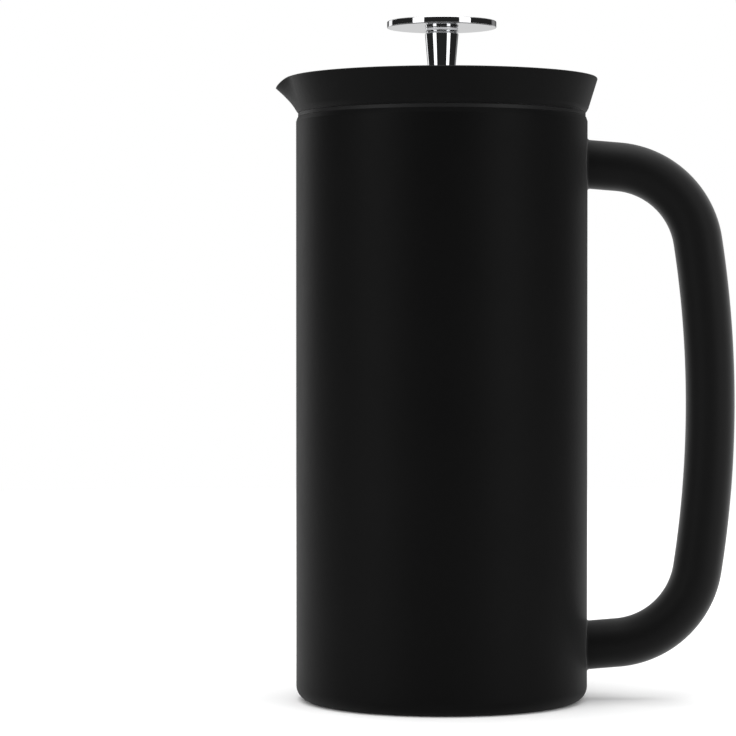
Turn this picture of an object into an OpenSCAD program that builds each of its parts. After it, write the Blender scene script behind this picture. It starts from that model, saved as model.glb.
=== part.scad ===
// Double-walled cafetiere with a two-stage micro filter, in millimetres.
// The vessel axis is Z, the table is Z = 0, the spout points to -X and the handle to +X.
// The plunger is drawn pressed down, with its ferrule resting on the lid.

/* [Vessel] */
// Outside diameter of the outer shell
vessel_d = 104; // [102:0.5:108]
// Inside diameter of the brewing chamber
chamber_d = 92.4; // [92.2:0.1:93]
// Sheet thickness of both walls
sheet = 0.6; // [0.5:0.1:0.8]
// Height of the seat that the lid rests on
seat_z = 209.4; // [200:1:225]
// Height of the chamber floor
floor_z = 8; // [7.5:0.5:12]
// Radius between the outer wall and the base
base_fillet = 5; // [3:0.5:8]

/* [Collar and spout] */
// Height of the flared collar above the seat
collar_h = 12.4; // [10:0.2:16]
// Outward flare of the collar at the rim
collar_flare = 3.6; // [2:0.2:5]
// How far the spout tip stands out from the rim
spout_reach = 3.8; // [2:0.2:6]
// How far the spout tip dips below the rim
spout_dip = 2.9; // [1:0.1:4]
// Half of the angle that the spout takes up
spout_half_angle = 17; // [12:1:24]

/* [Handle] */
// Outside diameter of the handle tube
handle_d = 17.4; // [14:0.2:20]
// Height of the upper end's centre below the seat
handle_top_drop = 18.2; // [16:1:30]
// Height of the lower end's centre above the table
handle_bottom_z = 19.4; // [16:1:40]
// Radius of the two bends
handle_bend_r = 31.4; // [26:0.2:36]
// Length of the straight stubs at both ends
handle_stub = 11; // [8:1:16]
// Slope of the stubs
handle_slope = 4.8; // [0:0.2:8]
// Angle at which a bend meets the bowed grip
handle_grip_angle = 81.2; // [78:0.2:84]

/* [Lid] */
// Diameter of the lid's flange
lid_d = 99.2; // [97:0.2:99.6]
// Thickness of the flange band
lid_band = 5.3; // [4:0.1:6]
// Height of the dome above the flange's underside
lid_dome = 14.5; // [12:0.1:16]
// Depth of the skirt below the flange
skirt_depth = 28.8; // [26:0.2:32]
// Length of the four feet under the skirt
foot_len = 5.2; // [3:0.2:7]
// Number of strainer slots on each side
slots = 15; // [9:2:15]
// Distance between two slots
slot_pitch = 2.75; // [2.6:0.05:2.9]
// Width of one slot
slot_w = 1.75; // [1.2:0.05:1.8]

/* [Plunger] */
// Diameter of the plunger rod
rod_d = 5.5; // [5:0.1:6]
// Diameter of the knob's disc
knob_d = 39; // [30:0.2:44]
// Distance from the ferrule to the filter's top flange
rod_reach = 136.3; // [120:0.1:140]

/* [Filters] */
// Number of upright ribs on each basket
ribs = 10; // [8:1:12]
// Height of the inner basket
inner_h = 51.3; // [48:0.1:54]
// Height of the outer basket
outer_h = 50; // [48:0.5:52]
// Turn that frees the outer basket from its lugs
bayonet_turn = 35; // [32:1:45]

/* [Hidden] */
$fn = 96;
eps = 0.01;
gap = 0.1;            // running gap between pieces that turn on each other

shell_r = vessel_d / 2;
chamber_r = chamber_d / 2;
neck_r = shell_r - 0.7;
rim_z = seat_z + collar_h;
collar_wall = 1.1;
foot_ring_r = 38;     // inner edge of the ring that the vessel stands on
base_recess = 1.8;
shell_top_z = seat_z - 2.4;
groove_z = seat_z - 1.4;

handle_r = handle_d / 2;
handle_wall = 1;
handle_top_z = seat_z - handle_top_drop;
handle_mid_z = (handle_top_z + handle_bottom_z) / 2;
handle_half = handle_top_z - handle_mid_z;
// The bowed grip's radius follows from closing the handle at its middle, to a tenth.
handle_grip_r = round(10 * (handle_half - handle_stub * sin(handle_slope)
    - handle_bend_r * (cos(handle_slope) - cos(handle_grip_angle))) / cos(handle_grip_angle)) / 10;
bend_start = [shell_r + handle_stub * cos(handle_slope), handle_top_z - handle_stub * sin(handle_slope)];
bend_centre = bend_start - handle_bend_r * [sin(handle_slope), cos(handle_slope)];
grip_start = bend_centre + handle_bend_r * [sin(handle_grip_angle), cos(handle_grip_angle)];

lid_z = seat_z + gap;             // underside of the lid's flange
lid_r = lid_d / 2;
lid_shell = 2.2;
lid_recess_r = lid_r - 3.6;       // recess in the cap that takes the insert
insert_top = 4.3;
insert_r = chamber_r - 1.85;      // wall above the seal
skirt_top_r = chamber_r - 3.6;    // wall just below the seal
skirt_low_r = chamber_r - 6.8;
skirt_wall = 1.8;
seal_top = -9.2;                  // the lid seal's groove, from the flange's underside
seal_low = -11.4;
lip_r = chamber_r - 0.15;         // both seals' free lips

rod_r = rod_d / 2;
guide_r = rod_r + 2.4;            // guide tube round the rod
guide_bore_r = rod_r + 0.95;
guide_low = 2 - skirt_depth;
bush_top_z = lid_z + lid_dome + 1.2;

ferrule_z = bush_top_z + 0.2;
ferrule_h = 12.8;
knob_neck_h = 1.6;
knob_t = 2.3;
knob_seam_z = ferrule_z + ferrule_h;
knob_disc_z = knob_seam_z + knob_neck_h;
stud_r = 2;
stud_h = 2.5;         // how far the upper stud goes into the knob

filter_z = ferrule_z - rod_reach; // top of the inner basket's flange
flange_r = chamber_r - 3.5;
flange_t = 1.6;
seal_gap = 3.8;                   // height of the filter seal's groove
seal_core_r = flange_r - 3.2;
inner_collar_r = chamber_r - 7.75;
inner_collar_low = 13.6;
inner_top_r = chamber_r - 9.05;   // outside of the ribs, top and bottom
inner_low_r = chamber_r - 10.7;
inner_rib = 1.8;
inner_rib_w = 4.5;
floor_t = 1.6;
hub_h = 12;
mesh_t = 0.3;
rib_step = 0.1;                   // how far a basket's rings stand inside its ribs

outer_z = filter_z - 2 * flange_t - seal_gap - gap;
outer_collar_r = chamber_r - 3.3;
outer_collar_h = 7;
outer_collar_wall = 1.6;
outer_lip_r = chamber_r - 1.2;
outer_lip_t = 1.6;
outer_top_r = chamber_r - 5.2;
outer_low_r = chamber_r - 7.2;
outer_rib = 2.4;
outer_rib_w = 3;
outer_floor_t = 1.4;
ring_h = 5.2;                     // bottom ring of both baskets
lug_r = outer_collar_r - outer_collar_wall - 0.3;
lug_drop = 3.9;                   // lug centre below the outer basket's top
lug_w = 5.3;
lug_h = 2.6;
lug_angle = 23.5;

// Points of an arc, from angle a to angle b, both ends included.
function arc(c, r, a, b, n = 8) = [for (i = [0:n]) let (t = a + (b - a) * i / n) c + r * [cos(t), sin(t)]];
// Points of the lid's dome from the rim inwards, lowered by d.
function dome(r_out, r_in, d, n = 14) = [for (i = [0:n]) let (r = r_out + (r_in - r_out) * i / n)
    [r, lid_dome - d - (lid_dome - 7.7) * pow(r / (lid_r - 2.6), 2)]];
function rev(list) = [for (i = [len(list) - 1:-1:0]) list[i]];

module revolve(points) {
    rotate_extrude() polygon(points);
}

module ring(r_out, r_in, z, h) {
    translate([0, 0, z]) difference() {
        cylinder(r = r_out, h = h);
        translate([0, 0, -1]) cylinder(r = r_in, h = h + 2);
    }
}

// ---------- vessel ----------

module outer_shell() {
    color("#1d1d1e") revolve(concat(
        [[foot_ring_r, 0]],
        arc([shell_r - base_fillet, base_fillet], base_fillet, -90, 0),
        arc([shell_r - 0.7, shell_top_z - 0.1], 0.7, 0, 90, 4),
        [[neck_r, groove_z], [neck_r - sheet, groove_z], [neck_r - sheet, shell_top_z - 0.2],
            [shell_r - sheet, shell_top_z - 1]],
        rev(arc([shell_r - base_fillet, base_fillet], base_fillet - sheet, -90, 0)),
        [[foot_ring_r, sheet]]));
}

module inner_vessel_wall() {
    corner = 6;
    lip = 0.8;
    revolve(concat(
        [[0, floor_z]],
        arc([chamber_r - corner, floor_z + corner], corner, -90, 0),
        [[chamber_r, seat_z - lip], [chamber_r + lip, seat_z], [neck_r, seat_z], [neck_r, groove_z],
            [chamber_r + sheet + 0.8, groove_z], [chamber_r + sheet, groove_z - 1.5]],
        rev(arc([chamber_r - corner, floor_z + corner], corner + sheet, -90, 0)),
        [[0, floor_z - sheet]]));
}

// A pressed channel under the spout lets coffee pass below the lid's flange.
module inner_vessel() {
    channel_half = 18;
    channel_drop = 6.2;
    color("#b9bbbe") difference() {
        union() {
            inner_vessel_wall();
            rotate([0, 0, 180 - channel_half - 3]) rotate_extrude(angle = 2 * channel_half + 6)
                polygon([[chamber_r + 0.2, seat_z - channel_drop - 1.2],
                    [neck_r - sheet - 0.1, groove_z + 0.1], [neck_r - sheet - 0.1, seat_z - 0.7],
                    [chamber_r + 0.2, seat_z - 0.7]]);
        }
        rotate([0, 0, 180 - channel_half]) rotate_extrude(angle = 2 * channel_half)
            polygon([[chamber_r - 0.6, seat_z - channel_drop - 0.8], [neck_r - collar_wall, seat_z - 0.6],
                [neck_r - collar_wall, seat_z + 1], [chamber_r - 0.6, seat_z + 1]]);
    }
}

// Spout weight: 1 at the tip and 0 outside the spout, by the angle from -X.
function spout_w(a) = let (s = min(1, abs(a) / spout_half_angle)) pow(1 - s, 2) * (1 + 2 * s);
// Outer wall of the collar at angle a from -X and share t of its height; the rim dips late.
function collar_r(a, t) = let (rim = shell_r + collar_flare + spout_reach * spout_w(a))
    shell_r + (rim - shell_r) * pow(t, 1 + 0.35 * spout_w(a));
function collar_z(a, t) = seat_z + 0.6 + (collar_h - 0.6 - spout_dip * pow(spout_w(a), 1.5)) * t;
function collar_point(a, r, z) = [-r * cos(a), -r * sin(a), z];

// The flared collar is one closed skin: up the outside, over the rounded rim and down the inside.
module spout_collar() {
    steps = [0, 0.2, 0.4, 0.6, 0.8, 0.95];
    fine = 3;
    // Even steps round the rim, finer across the spout.
    angles = concat([for (a = [-spout_half_angle - 1:fine / 2:spout_half_angle + 1]) a],
        [for (i = [1:77]) let (s = spout_half_angle + 1) s + (360 - 2 * s) * i / 78]);
    section = function (a) concat(
        [[neck_r, seat_z]],
        [for (t = steps) [collar_r(a, t), collar_z(a, t)]],
        [[collar_r(a, 1) - 0.1, collar_z(a, 1) - 0.15], [collar_r(a, 1) - 0.5, collar_z(a, 1)],
            [collar_r(a, 1) - 0.95, collar_z(a, 1) - 0.15]],
        [for (t = rev(steps)) [collar_r(a, t) - collar_wall, collar_z(a, t)]],
        [[neck_r - collar_wall, seat_z]]);
    rows = len(section(0));
    n = len(angles);
    points = [for (a = angles) for (p = section(a)) collar_point(a, p[0], p[1])];
    faces = [for (i = [0:n - 1]) for (j = [0:rows - 1])
        let (a = i * rows, b = (i + 1) % n * rows, k = (j + 1) % rows)
        each [[a + j, a + k, b + k], [a + j, b + k, b + j]]];
    color("#1d1d1e") polyhedron(points, faces, convexity = 6);
}

module base_plate() {
    weld_r = foot_ring_r + 4;
    color("#3a3b3d") difference() {
        revolve([[0, base_recess], [foot_ring_r - 1.4, base_recess], [foot_ring_r - 0.2, sheet],
            [weld_r, sheet], [weld_r, 2 * sheet], [foot_ring_r + 0.2, 2 * sheet],
            [foot_ring_r - 1, base_recess + sheet], [0, base_recess + sheet]]);
        cylinder(r = 1, h = 4);
    }
}

module vacuum_seal_cap() {
    color("#8d8f92") revolve([[0, base_recess - 0.9], [4.4, base_recess - 0.9], [5, base_recess - 0.4],
        [5, base_recess], [0, base_recess]]);
}

module vacuum_getter() {
    offset_x = 20;
    color("#9a9ca0") translate([offset_x, 0, floor_z - sheet - 1.4]) cylinder(r = 4, h = 1.4);
}

// The handle's centreline swept with a circle of radius r; the stubs start inside the shell.
// Each half is drawn in the frame of the point where its bend meets the grip.
// The stub is swaged a hair wider, so that it laps over the end of the bend.
module handle_half_sweep(r) {
    inside = 8;
    lap = 1;
    swage = 0.05;
    bend_angle = handle_grip_angle - handle_slope;
    past_middle = 0.5;
    reach = 2 * handle_half;
    intersection() {
        translate([grip_start[0], 0, grip_start[1]]) rotate([90, 0, 0])
            rotate([0, 0, 90 - handle_grip_angle]) {
            translate([-handle_bend_r, 0, 0]) {
                rotate_extrude(angle = bend_angle) translate([handle_bend_r, 0]) circle(r = r);
                rotate([0, 0, bend_angle]) translate([handle_bend_r, -lap, 0]) rotate([-90, 0, 0])
                    cylinder(r = r + swage, h = lap + handle_stub + inside);
            }
            translate([-handle_grip_r, 0, 0]) mirror([0, 1, 0])
                rotate_extrude(angle = 90 - handle_grip_angle + past_middle)
                    translate([handle_grip_r, 0]) circle(r = r);
        }
        translate([0, -reach, handle_mid_z]) cube(2 * reach);
    }
}

module handle_sweep(r) {
    handle_half_sweep(r);
    translate([0, 0, 2 * handle_mid_z]) mirror([0, 0, 1]) handle_half_sweep(r);
}

module handle_tube() {
    color("#1d1d1e") difference() {
        handle_sweep(handle_r);
        handle_sweep(handle_r - handle_wall);
        cylinder(r = shell_r, h = seat_z, $fn = 360);
    }
}

module handle_weld_beads() {
    leg = 0.7;
    inside = 2.4;
    bore_r = handle_r + 0.05;
    module bead() {
        translate([shell_r, 0, handle_top_z]) rotate([0, 90 + handle_slope, 0])
            revolve([[bore_r, -inside], [bore_r + inside + leg, -inside], [bore_r + 0.1, leg],
                [bore_r, leg]]);
    }
    color("#1d1d1e") difference() {
        union() {
            bead();
            translate([0, 0, 2 * handle_mid_z]) mirror([0, 0, 1]) bead();
        }
        cylinder(r = shell_r, h = seat_z, $fn = 360);
    }
}

// ---------- lid ----------

module lid_seal() {
    color("#2b2b2c") translate([0, 0, lid_z]) revolve([
        [insert_r - 1.1, seal_low + gap], [insert_r + 0.3, seal_low + gap], [lip_r - 0.3, seal_low + 0.9],
        [lip_r, seal_low + 1.2], [lip_r - 0.2, seal_low + 1.6], [insert_r + 0.3, seal_top - gap],
        [insert_r - 1.1, seal_top - gap]]);
}

module lid_cap() {
    bore = guide_bore_r + 0.05;
    color("#0e0e0f") translate([0, 0, lid_z]) revolve(concat(
        [[lid_recess_r, 0], [lid_r - 0.6, 0], [lid_r, 0.6], [lid_r, lid_band], [lid_r - 0.4, lid_band + 0.8]],
        dome(lid_r - 2.6, bore, 0),
        rev(dome(lid_r - 5.5, bore, lid_shell)),
        [[lid_r - 5.2, insert_top + gap], [lid_recess_r, insert_top + gap]]));
}

module slot_row(top, low) {
    r = slot_w / 2;
    translate([-r, low + r]) square([slot_w, top - low - slot_w]);
    translate([0, low + r]) circle(r = r, $fn = 24);
    translate([0, top - r]) circle(r = r, $fn = 24);
}

// Slots run straight through both walls along X; the outer ones of a row are shorter.
module strainer_slots() {
    half = (slots - 1) / 2;
    short = [0, 1.5, 4.3, 7.5];
    rotate([90, 0, 90]) for (k = [-half:half]) translate([k * slot_pitch, 0, 0]) {
        lift = short[max(0, abs(k) - half + 3)];
        translate([0, 0, -60]) linear_extrude(120) {
            slot_row(-3.2, seal_top + 0.8);
            slot_row(seal_low - 1.4, lift - 24.6);
        }
    }
}

// A foot under the skirt, set back from its face, with a thin upright rib.
module foot(a) {
    top_half = 15.6;
    low_half = 12.8;
    root = 0.6;
    step = 0.6;
    rib_w = 0.9;
    slope = (skirt_top_r - skirt_low_r) / (skirt_depth - 12.6);
    low_z = -skirt_depth - foot_len;
    low_r = skirt_low_r - slope * foot_len;
    inner_r = skirt_low_r - skirt_wall;
    rotate([0, 0, a]) {
        intersection() {
            revolve([[low_r - skirt_wall, low_z], [low_r - step, low_z], [skirt_low_r - step, -skirt_depth],
                [skirt_low_r - step, root - skirt_depth], [inner_r + root, root - skirt_depth],
                [inner_r + 0.1, -skirt_depth]]);
            rotate([90, 0, 90]) linear_extrude(60)
                polygon([[-low_half, low_z], [low_half, low_z], [top_half, -skirt_depth],
                    [top_half, 1 - skirt_depth], [-top_half, 1 - skirt_depth], [-top_half, -skirt_depth]]);
        }
        translate([0, rib_w / 2, 0]) rotate([90, 0, 0]) linear_extrude(rib_w)
            polygon([[low_r - 1, low_z + 0.7], [low_r - 0.1, low_z + 0.7],
                [skirt_low_r - 0.1, 0.4 - skirt_depth], [skirt_low_r - 1, 0.4 - skirt_depth]]);
    }
}

module insert_wall() {
    inner_top = insert_r - 1.9;
    revolve([[insert_r, 0.2], [lid_recess_r - 0.1, 0.2], [lid_recess_r - 0.1, insert_top],
        [guide_r - 0.2, insert_top], [guide_r - 0.2, insert_top - 2], [inner_top, insert_top - 2],
        [inner_top, seal_top + 1], [skirt_top_r - skirt_wall, seal_low - 1.2],
        [skirt_low_r - skirt_wall, -skirt_depth], [skirt_low_r, -skirt_depth],
        [skirt_top_r, seal_low - 1.2], [insert_r - 0.4, seal_low - 0.6], [insert_r - 0.4, seal_low],
        [insert_r - 1.2, seal_low], [insert_r - 1.2, seal_top], [insert_r, seal_top]]);
}

module lid_insert() {
    web_t = 1.6;
    web_low = -3;
    feet_at = 49;
    latch_at = 39;
    color("#19191a") translate([0, 0, lid_z]) {
        difference() {
            insert_wall();
            strainer_slots();
            for (side = [0, 180]) for (a = [-latch_at, latch_at]) rotate([0, 0, side + a])
                translate([skirt_low_r + 0.3, -1.3, 2.6 - skirt_depth]) cube([4, 2.6, 2.4]);
        }
        for (side = [0, 180]) for (a = [-feet_at, feet_at]) foot(side + a);
        ring(guide_r, guide_bore_r, guide_low, lid_dome - lid_shell - 0.1 - guide_low);
        for (a = [45:90:315]) rotate([0, 0, a]) translate([guide_r - 0.3, -web_t / 2, web_low])
            cube([insert_r - guide_r - 1.4, web_t, insert_top - web_low - 1]);
    }
}

module rod_bush_upper() {
    color("#d9d9d4") {
        ring(guide_bore_r, rod_r + 0.05, lid_z + lid_dome - 10, 10);
        ring(guide_bore_r + 1.5, rod_r + 0.05, lid_z + lid_dome, 1.2);
    }
}

module rod_bush_lower() {
    color("#d9d9d4") ring(guide_bore_r, rod_r + 0.05, lid_z + guide_low + 2, 8);
}

module rod_wiper() {
    color("#e4e4e2") ring(guide_bore_r, rod_r + 0.03, lid_z + guide_low, 2);
}

// ---------- plunger ----------

module knob_disc() {
    round_r = 0.7;
    color("#d8dadd") difference() {
        union() {
            translate([0, 0, knob_disc_z]) revolve(concat([[0, 0]],
                arc([knob_d / 2 - round_r, round_r], round_r, -90, 0, 4),
                arc([knob_d / 2 - round_r, knob_t - round_r], round_r, 0, 90, 4), [[0, knob_t]]));
            translate([0, 0, knob_seam_z + 0.5]) cylinder(r1 = 6, r2 = 5.8, h = knob_neck_h - 0.4);
            translate([0, 0, knob_seam_z]) cylinder(r1 = 5.5, r2 = 6, h = 0.5);
        }
        translate([0, 0, knob_seam_z - 1]) cylinder(r = stud_r, h = stud_h + 1.5);
    }
}

module knob_ferrule() {
    color("#d8dadd") translate([0, 0, ferrule_z]) difference() {
        union() {
            cylinder(r1 = 4.5, r2 = 4.95, h = 0.5);
            translate([0, 0, 0.5]) cylinder(r1 = 4.95, r2 = 6, h = ferrule_h - 1);
            translate([0, 0, ferrule_h - 0.5]) cylinder(r1 = 6, r2 = 5.5, h = 0.5);
        }
        translate([0, 0, -1]) cylinder(r = rod_r, h = ferrule_h + 2);
    }
}

module plunger_rod() {
    shoulder_z = filter_z - inner_h + hub_h + 1;
    color("#d8dadd") {
        translate([0, 0, knob_seam_z - eps]) cylinder(r = stud_r, h = stud_h + eps);
        translate([0, 0, shoulder_z]) cylinder(r = rod_r, h = knob_seam_z - shoulder_z);
        translate([0, 0, filter_z - inner_h]) cylinder(r = stud_r, h = hub_h + 1 + eps);
    }
}

module rod_collar() {
    color("#c9cbce") ring(4.2, stud_r, filter_z - inner_h + hub_h, 1);
}

module hub_washer() {
    color("#c9cbce") ring(4.4, stud_r, filter_z - inner_h + 2.7, 0.5);
}

module rod_nut() {
    color("#c9cbce") translate([0, 0, filter_z - inner_h + 0.3]) difference() {
        cylinder(r = 4, h = 2.4, $fn = 6);
        translate([0, 0, -1]) cylinder(r = stud_r, h = 5);
    }
}

module filter_seal() {
    lip_low = 0.6 - seal_gap;
    color("#dcdcda") translate([0, 0, filter_z - flange_t]) revolve([
        [seal_core_r + gap, -gap], [flange_r - 0.2, -gap], [flange_r, -0.5], [lip_r - 0.1, -0.1],
        [lip_r, -0.4], [flange_r, -1.2], [flange_r, lip_low + 0.9], [lip_r, lip_low + 0.1],
        [lip_r - 0.1, lip_low - 0.2], [flange_r, 0.4 - seal_gap], [flange_r - 0.2, gap - seal_gap],
        [seal_core_r + gap, gap - seal_gap]]);
}

// A basket's ribs: a thin cone cut into bars; count bars of width w, starting at angle first.
module basket_ribs(top_r, low_r, t, top_z, low_z, w, first) {
    intersection() {
        revolve([[low_r - t, low_z], [low_r, low_z], [top_r, top_z], [top_r - t, top_z]]);
        for (i = [0:ribs - 1]) rotate([0, 0, first + i * 360 / ribs])
            translate([0, -w / 2, low_z]) cube([top_r + 2, w, top_z - low_z]);
    }
}

// The ring that closes a basket's lower end; its inside leans out with the ribs.
module bottom_ring(r, t, lean, z, floor_h) {
    inside = r - t - rib_step;
    revolve([[r - t - 0.9, z], [r - 1.6, z], [r, z + 1.6], [r + lean * ring_h, z + ring_h],
        [inside + lean * (ring_h - 2), z + ring_h], [inside + lean * (floor_h - 2), z + floor_h],
        [r - t - 0.9, z + floor_h]]);
}

module floor_spokes(r_hub, r_ring, z, t, w, first) {
    spokes = 5;
    for (i = [0:spokes - 1]) rotate([0, 0, first + i * 360 / spokes])
        translate([r_hub, -w / 2, z]) cube([r_ring - r_hub, w, t]);
}

module inner_filter_frame() {
    low_z = filter_z - inner_h;
    collar_z = filter_z - inner_collar_low;
    groove_low = filter_z - flange_t - seal_gap;
    mouth_r = inner_top_r - inner_rib - 0.4;
    first_rib = lug_angle - 90;
    lean = (inner_top_r - inner_low_r) / (collar_z - low_z - 3);
    color("#19191a") difference() {
        union() {
            revolve([[mouth_r, collar_z - 1.2], [inner_top_r + 0.2, collar_z - 1.2],
                [inner_collar_r, collar_z], [inner_collar_r, groove_low - flange_t],
                [flange_r, groove_low - flange_t], [flange_r, groove_low], [seal_core_r, groove_low],
                [seal_core_r, filter_z - flange_t], [flange_r, filter_z - flange_t],
                [flange_r, filter_z - 0.4], [flange_r - 0.4, filter_z], [mouth_r, filter_z]]);
            basket_ribs(inner_top_r, inner_low_r, inner_rib, collar_z - 1, low_z + 2, inner_rib_w, first_rib);
            bottom_ring(inner_low_r, inner_rib, lean, low_z, floor_t);
            floor_spokes(6, inner_low_r - inner_rib - 0.5, low_z, floor_t, 3.6, first_rib);
            revolve([[0, low_z], [8.5, low_z], [8.5, low_z + floor_t + 0.3], [8, low_z + floor_t + 0.3],
                [4.6, low_z + hub_h], [0, low_z + hub_h]]);
            for (side = [0, 180]) rotate([0, 0, side + lug_angle - 90])
                translate([inner_collar_r - 0.5, 0, outer_z - lug_drop]) rotate([90, 0, 90])
                    lug(lug_r - inner_collar_r + 0.5);
        }
        translate([0, 0, low_z - 1]) cylinder(r = stud_r, h = hub_h + 2);
        translate([0, 0, low_z - 1]) cylinder(r = 4.7, h = 4.2);
    }
}

module lug(depth) {
    r = lug_h / 2;
    linear_extrude(depth) {
        for (s = [-1, 1]) translate([s * (lug_w / 2 - r), 0]) circle(r = r, $fn = 32);
        translate([r - lug_w / 2, -0.75 * r]) square([lug_w - 2 * r, 1.5 * r]);
    }
}

module side_mesh(top_r, low_r, top_z, low_z) {
    revolve([[low_r - mesh_t, low_z], [low_r, low_z], [top_r, top_z], [top_r - mesh_t, top_z]]);
}

// Radius of a basket's ribs at height z, for the cone between its top and its low end.
function cone_r(top_r, low_r, top_z, low_z, z) = low_r + (top_r - low_r) * (z - low_z) / (top_z - low_z);

module inner_side_mesh() {
    top_z = filter_z - inner_collar_low - 1.2;
    low_z = filter_z - inner_h + floor_t + mesh_t;
    cone_top = filter_z - inner_collar_low - 1;
    cone_low = filter_z - inner_h + 2;
    t = inner_rib + rib_step + eps;
    color("#c4c6c8") side_mesh(cone_r(inner_top_r, inner_low_r, cone_top, cone_low, top_z) - t,
        cone_r(inner_top_r, inner_low_r, cone_top, cone_low, low_z) - t - 0.05, top_z, low_z);
}

module inner_floor_mesh() {
    color("#c4c6c8") ring(inner_low_r - inner_rib - 0.5, 8.6, filter_z - inner_h + floor_t, mesh_t);
}

module outer_filter_frame() {
    low_z = outer_z - outer_h;
    top_in = outer_collar_r - outer_collar_wall;
    lip_z = outer_z - outer_collar_h;
    band_low = lip_z - outer_lip_t - 1.6;
    mouth_r = outer_top_r - outer_rib - 0.4;
    lip_low = lip_z - outer_lip_t;
    lean = (outer_top_r - outer_low_r) / (band_low - low_z - 1.9);
    color("#19191a") {
        revolve([[top_in, outer_z], [outer_collar_r, outer_z], [outer_collar_r, lip_z],
            [outer_lip_r - 0.4, lip_z], [outer_lip_r, lip_z - 0.5], [outer_lip_r, lip_low + 0.4],
            [outer_lip_r - 0.4, lip_low], [outer_top_r + 0.8, lip_low], [outer_top_r + 0.2, band_low],
            [mouth_r, band_low], [mouth_r, lip_low], [top_in, lip_z]]);
        basket_ribs(outer_top_r, outer_low_r, outer_rib, band_low + 0.1, low_z + 2, outer_rib_w, -90);
        bottom_ring(outer_low_r, outer_rib, lean, low_z, outer_floor_t);
        floor_spokes(5, outer_low_r - outer_rib - 0.5, low_z, outer_floor_t, 3.2, -90);
        ring(7, 3, low_z, outer_floor_t);
        for (side = [0, 180]) rotate([0, 0, side + lug_angle - 90]) bayonet_track();
    }
}

// A ledge that the lug turns under, with a stop at its locked end.
module bayonet_track() {
    stop_at = 5;
    ledge_from = 9 - bayonet_turn;
    ledge_in = inner_collar_r + 0.4;
    ledge_out = outer_collar_r - outer_collar_wall + 0.1;
    ledge_low = lug_drop - lug_h / 2 - 0.15;
    stop_low = outer_z - outer_collar_h + 0.4;
    rotate([0, 0, ledge_from]) rotate_extrude(angle = stop_at + 2 - ledge_from)
        polygon([[ledge_in, outer_z - ledge_low], [ledge_out, outer_z - ledge_low],
            [ledge_out, outer_z - 0.8], [ledge_in, outer_z - 0.8]]);
    rotate([0, 0, stop_at]) rotate_extrude(angle = 1.6)
        polygon([[ledge_in + 0.2, stop_low], [ledge_out + 0.1, stop_low],
            [ledge_out + 0.1, outer_z - 1.2], [ledge_in + 0.2, outer_z - 1.2]]);
}

module outer_side_mesh() {
    cone_top = outer_z - outer_collar_h - outer_lip_t - 1.5;
    cone_low = outer_z - outer_h + 2;
    top_z = cone_top - 0.2;
    low_z = outer_z - outer_h + outer_floor_t + mesh_t;
    t = outer_rib + rib_step + eps;
    color("#c4c6c8") side_mesh(cone_r(outer_top_r, outer_low_r, cone_top, cone_low, top_z) - t,
        cone_r(outer_top_r, outer_low_r, cone_top, cone_low, low_z) - t - 0.05, top_z, low_z);
}

module outer_floor_mesh() {
    color("#c4c6c8") translate([0, 0, outer_z - outer_h + outer_floor_t])
        cylinder(r = outer_low_r - outer_rib - 0.5, h = mesh_t);
}

outer_shell();
inner_vessel();
spout_collar();
base_plate();
vacuum_seal_cap();
vacuum_getter();
handle_tube();
handle_weld_beads();
lid_seal();
lid_cap();
lid_insert();
rod_bush_upper();
rod_bush_lower();
rod_wiper();
filter_seal();
knob_disc();
knob_ferrule();
plunger_rod();
rod_collar();
hub_washer();
rod_nut();
inner_filter_frame();
inner_side_mesh();
inner_floor_mesh();
outer_filter_frame();
outer_side_mesh();
outer_floor_mesh();
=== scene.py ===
"""Looks of a french press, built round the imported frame.

Lengths in this file are millimetres in the row frame (vessel axis on Z, spout to -X, handle to +X);
the mesh builders turn them into metres.
"""
from math import atan2, cos, hypot, pi, radians, sin, sqrt, tan

import bmesh
import bpy
from mathutils import Matrix, Vector, noise


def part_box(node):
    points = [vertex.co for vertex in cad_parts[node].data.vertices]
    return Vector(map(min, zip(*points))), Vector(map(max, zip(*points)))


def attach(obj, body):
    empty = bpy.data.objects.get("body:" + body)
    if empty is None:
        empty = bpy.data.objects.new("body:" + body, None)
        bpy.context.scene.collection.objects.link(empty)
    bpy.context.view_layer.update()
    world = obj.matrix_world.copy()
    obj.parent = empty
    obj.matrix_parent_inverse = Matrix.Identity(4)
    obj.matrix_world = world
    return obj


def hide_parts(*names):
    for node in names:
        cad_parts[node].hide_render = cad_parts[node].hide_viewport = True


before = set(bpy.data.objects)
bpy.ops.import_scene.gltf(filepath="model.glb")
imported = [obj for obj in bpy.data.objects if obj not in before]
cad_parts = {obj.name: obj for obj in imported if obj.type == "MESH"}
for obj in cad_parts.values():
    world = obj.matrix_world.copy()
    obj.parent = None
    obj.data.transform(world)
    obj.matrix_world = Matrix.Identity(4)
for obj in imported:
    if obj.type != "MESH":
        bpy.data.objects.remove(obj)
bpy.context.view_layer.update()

MM = 0.001
TAU = 2 * pi


# ---- outlines

def span(node):
    """A node's largest radius about the vessel axis, and its lowest and highest point."""
    low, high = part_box(node)
    return max(abs(low.y), abs(high.y), high.x) / MM, low.z / MM, high.z / MM


def angles(n):
    """A full turn in n steps."""
    return [TAU * i / n for i in range(n)]


def arc(centre, r, start, end, n=8):
    """Points of an arc from one angle to another, in degrees, both ends included."""
    turns = [radians(start + (end - start) * i / n) for i in range(n + 1)]
    return [(centre[0] + r * cos(a), centre[1] + r * sin(a)) for a in turns]


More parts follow.
